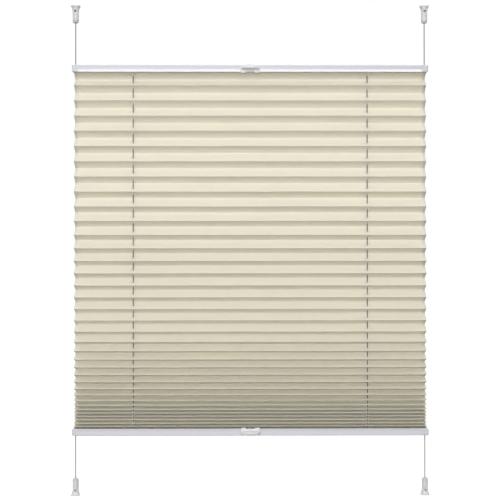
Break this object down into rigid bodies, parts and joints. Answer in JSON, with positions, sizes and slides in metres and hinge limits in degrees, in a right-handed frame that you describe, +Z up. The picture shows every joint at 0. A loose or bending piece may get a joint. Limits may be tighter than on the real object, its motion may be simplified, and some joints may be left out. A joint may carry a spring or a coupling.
{
  "type": "pleated blind",
  "caption": "Free-hanging pleated blind with a cream cloth between two sliding rails on taut side cords, held by screw-on tension shoes.",
  "frame": {"origin": "midway between the two upper screw holes, in the plane where the upper shoes meet the frame", "axes": "+X along the rails to the right seen from the room, -Y towards the room, +Z up"},
  "size_m": [0.605, 0.0305, 0.827],
  "materials": {
    "rail_white": "satin white powder coat on an aluminium extrusion",
    "cap_white": "moulded white plastic",
    "inner_plastic": "moulded plastic",
    "spring_steel": "bright wire",
    "clear_plastic": "clear moulded plastic",
    "cream_fabric": "fine woven polyester, crush-pleated",
    "grey_cord": "braided cord",
    "shoe_plastic": "translucent white moulded plastic",
    "foot_plastic": "grey moulded plastic"
  },
  "bodies": {
    "shoes_and_cords": {"top_left_shoe": "shoe_plastic", "top_right_shoe": "shoe_plastic", "bottom_left_shoe": "shoe_plastic", "bottom_right_shoe": "shoe_plastic", "top_left_cord_foot": "foot_plastic", "top_right_cord_foot": "foot_plastic", "bottom_left_cord_foot": "foot_plastic", "bottom_right_cord_foot": "foot_plastic", "left_tension_cord": "grey_cord", "right_tension_cord": "grey_cord"},
    "upper_rail": {"upper_rail": "rail_white", "upper_left_end_cap": "cap_white", "upper_right_end_cap": "cap_white", "upper_left_cord_guide": "inner_plastic", "upper_right_cord_guide": "inner_plastic", "upper_fabric_strip": "inner_plastic", "upper_handle": "clear_plastic", "left_spring_slide": "inner_plastic", "right_spring_slide": "inner_plastic", "tension_spring": "spring_steel", "pleated_fabric": "cream_fabric"},
    "lower_rail": {"lower_rail": "rail_white", "lower_left_end_cap": "cap_white", "lower_right_end_cap": "cap_white", "lower_left_cord_guide": "inner_plastic", "lower_right_cord_guide": "inner_plastic", "lower_fabric_strip": "inner_plastic", "lower_handle": "clear_plastic"}
  },
  "joints": [
    {"name": "upper_rail_slide", "type": "slide", "parent": "shoes_and_cords", "child": "upper_rail", "axis": [0, 0, 1], "range_m": [-0.28, 0.069], "deforming": ["pleated_fabric", "left_tension_cord", "right_tension_cord"]},
    {"name": "lower_rail_slide", "type": "slide", "parent": "shoes_and_cords", "child": "lower_rail", "axis": [0, 0, 1], "range_m": [-0.069, 0.28], "deforming": ["pleated_fabric", "left_tension_cord", "right_tension_cord"]}
  ]
}
